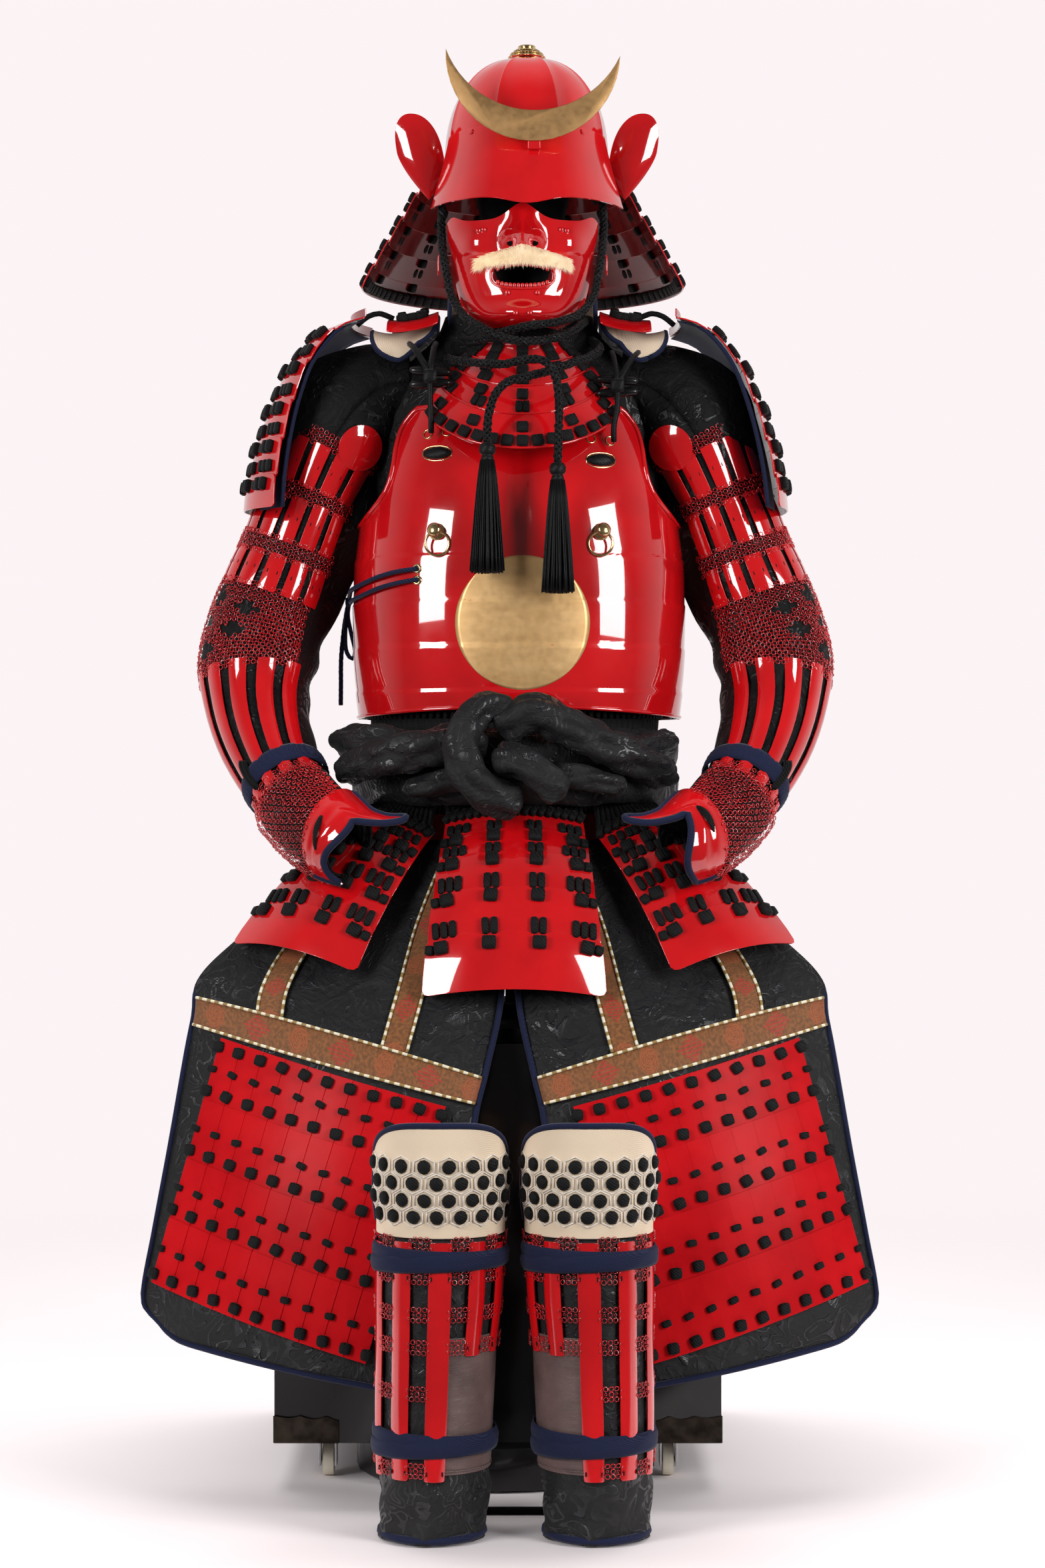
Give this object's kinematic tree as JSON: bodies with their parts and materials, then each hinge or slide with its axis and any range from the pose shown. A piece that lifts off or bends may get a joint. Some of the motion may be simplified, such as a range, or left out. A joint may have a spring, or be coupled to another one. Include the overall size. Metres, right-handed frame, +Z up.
{
  "type": "samurai armour on display box stand",
  "caption": "Red lacquered lamellar armour with helmet, mask, laced plates, brocade sleeves and greaves, set out seated on a black wheeled armour box with a post stand.",
  "frame": {"origin": "on the floor, below the centre of the whole set's bounding box", "axes": "+Z up, the armour faces -Y, +X towards the viewer's right when facing it"},
  "size_m": [0.808, 0.7837, 1.6278],
  "materials": {
    "red_lacquer": "high-gloss red lacquer on steel plate",
    "gilt_brass": "polished gilt brass",
    "dull_brass": "satin, slightly aged brass sheet",
    "black_brocade": "quilted black damask with a satin pattern",
    "black_silk": "braided black silk cord",
    "navy_cotton": "plain navy cotton binding",
    "cream_cotton": "cream cotton twill, quilted in hexagons",
    "cream_fur": "short cream fur",
    "black_lacquer": "satin black lacquered wood",
    "steel": "zinc-plated steel",
    "cream_plastic": "cream nylon wheels"
  },
  "bodies": {
    "armour": {"helmet_bowl": "red_lacquer", "helmet_finial": "gilt_brass", "brow_plate": "red_lacquer", "crescent": "dull_brass", "ear_left": "red_lacquer", "ear_right": "red_lacquer", "neck_guard": "red_lacquer", "mask": "red_lacquer", "moustache": "cream_fur", "throat_guard": "red_lacquer", "chin_cord_left": "black_silk", "chin_cord_right": "black_silk", "tassel_left": "black_silk", "tassel_right": "black_silk", "breast_plate": "red_lacquer", "back_plate": "red_lacquer", "shoulder_pad_left": "black_brocade", "shoulder_pad_right": "black_brocade", "collar": "navy_cotton", "side_cord": "navy_cotton", "waist_lacing": "black_silk", "sash": "black_brocade", "tasset_front": "red_lacquer", "armour_box": "black_lacquer", "display_stand": "black_lacquer", "shin_stand": "black_lacquer", "tasset_front_left": "red_lacquer", "tasset_side_left": "red_lacquer", "tasset_back_left": "red_lacquer", "sleeve_left": "black_brocade", "sleeve_armour_left": "red_lacquer", "hand_guard_left": "red_lacquer", "shoulder_guard_left": "red_lacquer", "thigh_cloth_left": "black_brocade", "thigh_plates_left": "red_lacquer", "shin_cloth_left": "black_brocade", "shin_splints_left": "red_lacquer", "knee_guard_left": "cream_cotton", "tasset_front_right": "red_lacquer", "tasset_side_right": "red_lacquer", "tasset_back_right": "red_lacquer", "sleeve_right": "black_brocade", "sleeve_armour_right": "red_lacquer", "hand_guard_right": "red_lacquer", "shoulder_guard_right": "red_lacquer", "thigh_cloth_right": "black_brocade", "thigh_plates_right": "red_lacquer", "shin_cloth_right": "black_brocade", "shin_splints_right": "red_lacquer", "knee_guard_right": "cream_cotton"},
    "ring_left": {"chest_ring_left": "gilt_brass"},
    "ring_right": {"chest_ring_right": "gilt_brass"},
    "fork_front_left": {"caster_fork_front_left": "steel"},
    "wheel_front_left": {"caster_wheel_front_left": "cream_plastic"},
    "fork_front_right": {"caster_fork_front_right": "steel"},
    "wheel_front_right": {"caster_wheel_front_right": "cream_plastic"},
    "fork_back_left": {"caster_fork_back_left": "steel"},
    "wheel_back_left": {"caster_wheel_back_left": "cream_plastic"},
    "fork_back_right": {"caster_fork_back_right": "steel"},
    "wheel_back_right": {"caster_wheel_back_right": "cream_plastic"}
  },
  "joints": [
    {"name": "chest_ring_swing_left", "type": "hinge", "parent": "armour", "child": "ring_left", "pos_m": [-0.0815, 0.00583, 1.053], "axis": [-1, 0, 0], "range_deg": [0, 150]},
    {"name": "chest_ring_swing_right", "type": "hinge", "parent": "armour", "child": "ring_right", "pos_m": [0.1015, 0.00583, 1.053], "axis": [-1, 0, 0], "range_deg": [0, 150]},
    {"name": "caster_swivel_front_left", "type": "hinge", "parent": "armour", "child": "fork_front_left", "pos_m": [-0.202, -0.024, 0.04], "axis": [0, 0, 1], "continuous": true},
    {"name": "caster_roll_front_left", "type": "hinge", "parent": "fork_front_left", "child": "wheel_front_left", "pos_m": [-0.202, -0.012, 0.018], "axis": [1, 0, 0], "continuous": true},
    {"name": "caster_swivel_front_right", "type": "hinge", "parent": "armour", "child": "fork_front_right", "pos_m": [0.176, -0.024, 0.04], "axis": [0, 0, 1], "continuous": true},
    {"name": "caster_roll_front_right", "type": "hinge", "parent": "fork_front_right", "child": "wheel_front_right", "pos_m": [0.176, -0.012, 0.018], "axis": [1, 0, 0], "continuous": true},
    {"name": "caster_swivel_back_left", "type": "hinge", "parent": "armour", "child": "fork_back_left", "pos_m": [-0.202, 0.334, 0.04], "axis": [0, 0, 1], "continuous": true},
    {"name": "caster_roll_back_left", "type": "hinge", "parent": "fork_back_left", "child": "wheel_back_left", "pos_m": [-0.202, 0.346, 0.018], "axis": [1, 0, 0], "continuous": true},
    {"name": "caster_swivel_back_right", "type": "hinge", "parent": "armour", "child": "fork_back_right", "pos_m": [0.176, 0.334, 0.04], "axis": [0, 0, 1], "continuous": true},
    {"name": "caster_roll_back_right", "type": "hinge", "parent": "fork_back_right", "child": "wheel_back_right", "pos_m": [0.176, 0.346, 0.018], "axis": [1, 0, 0], "continuous": true}
  ]
}
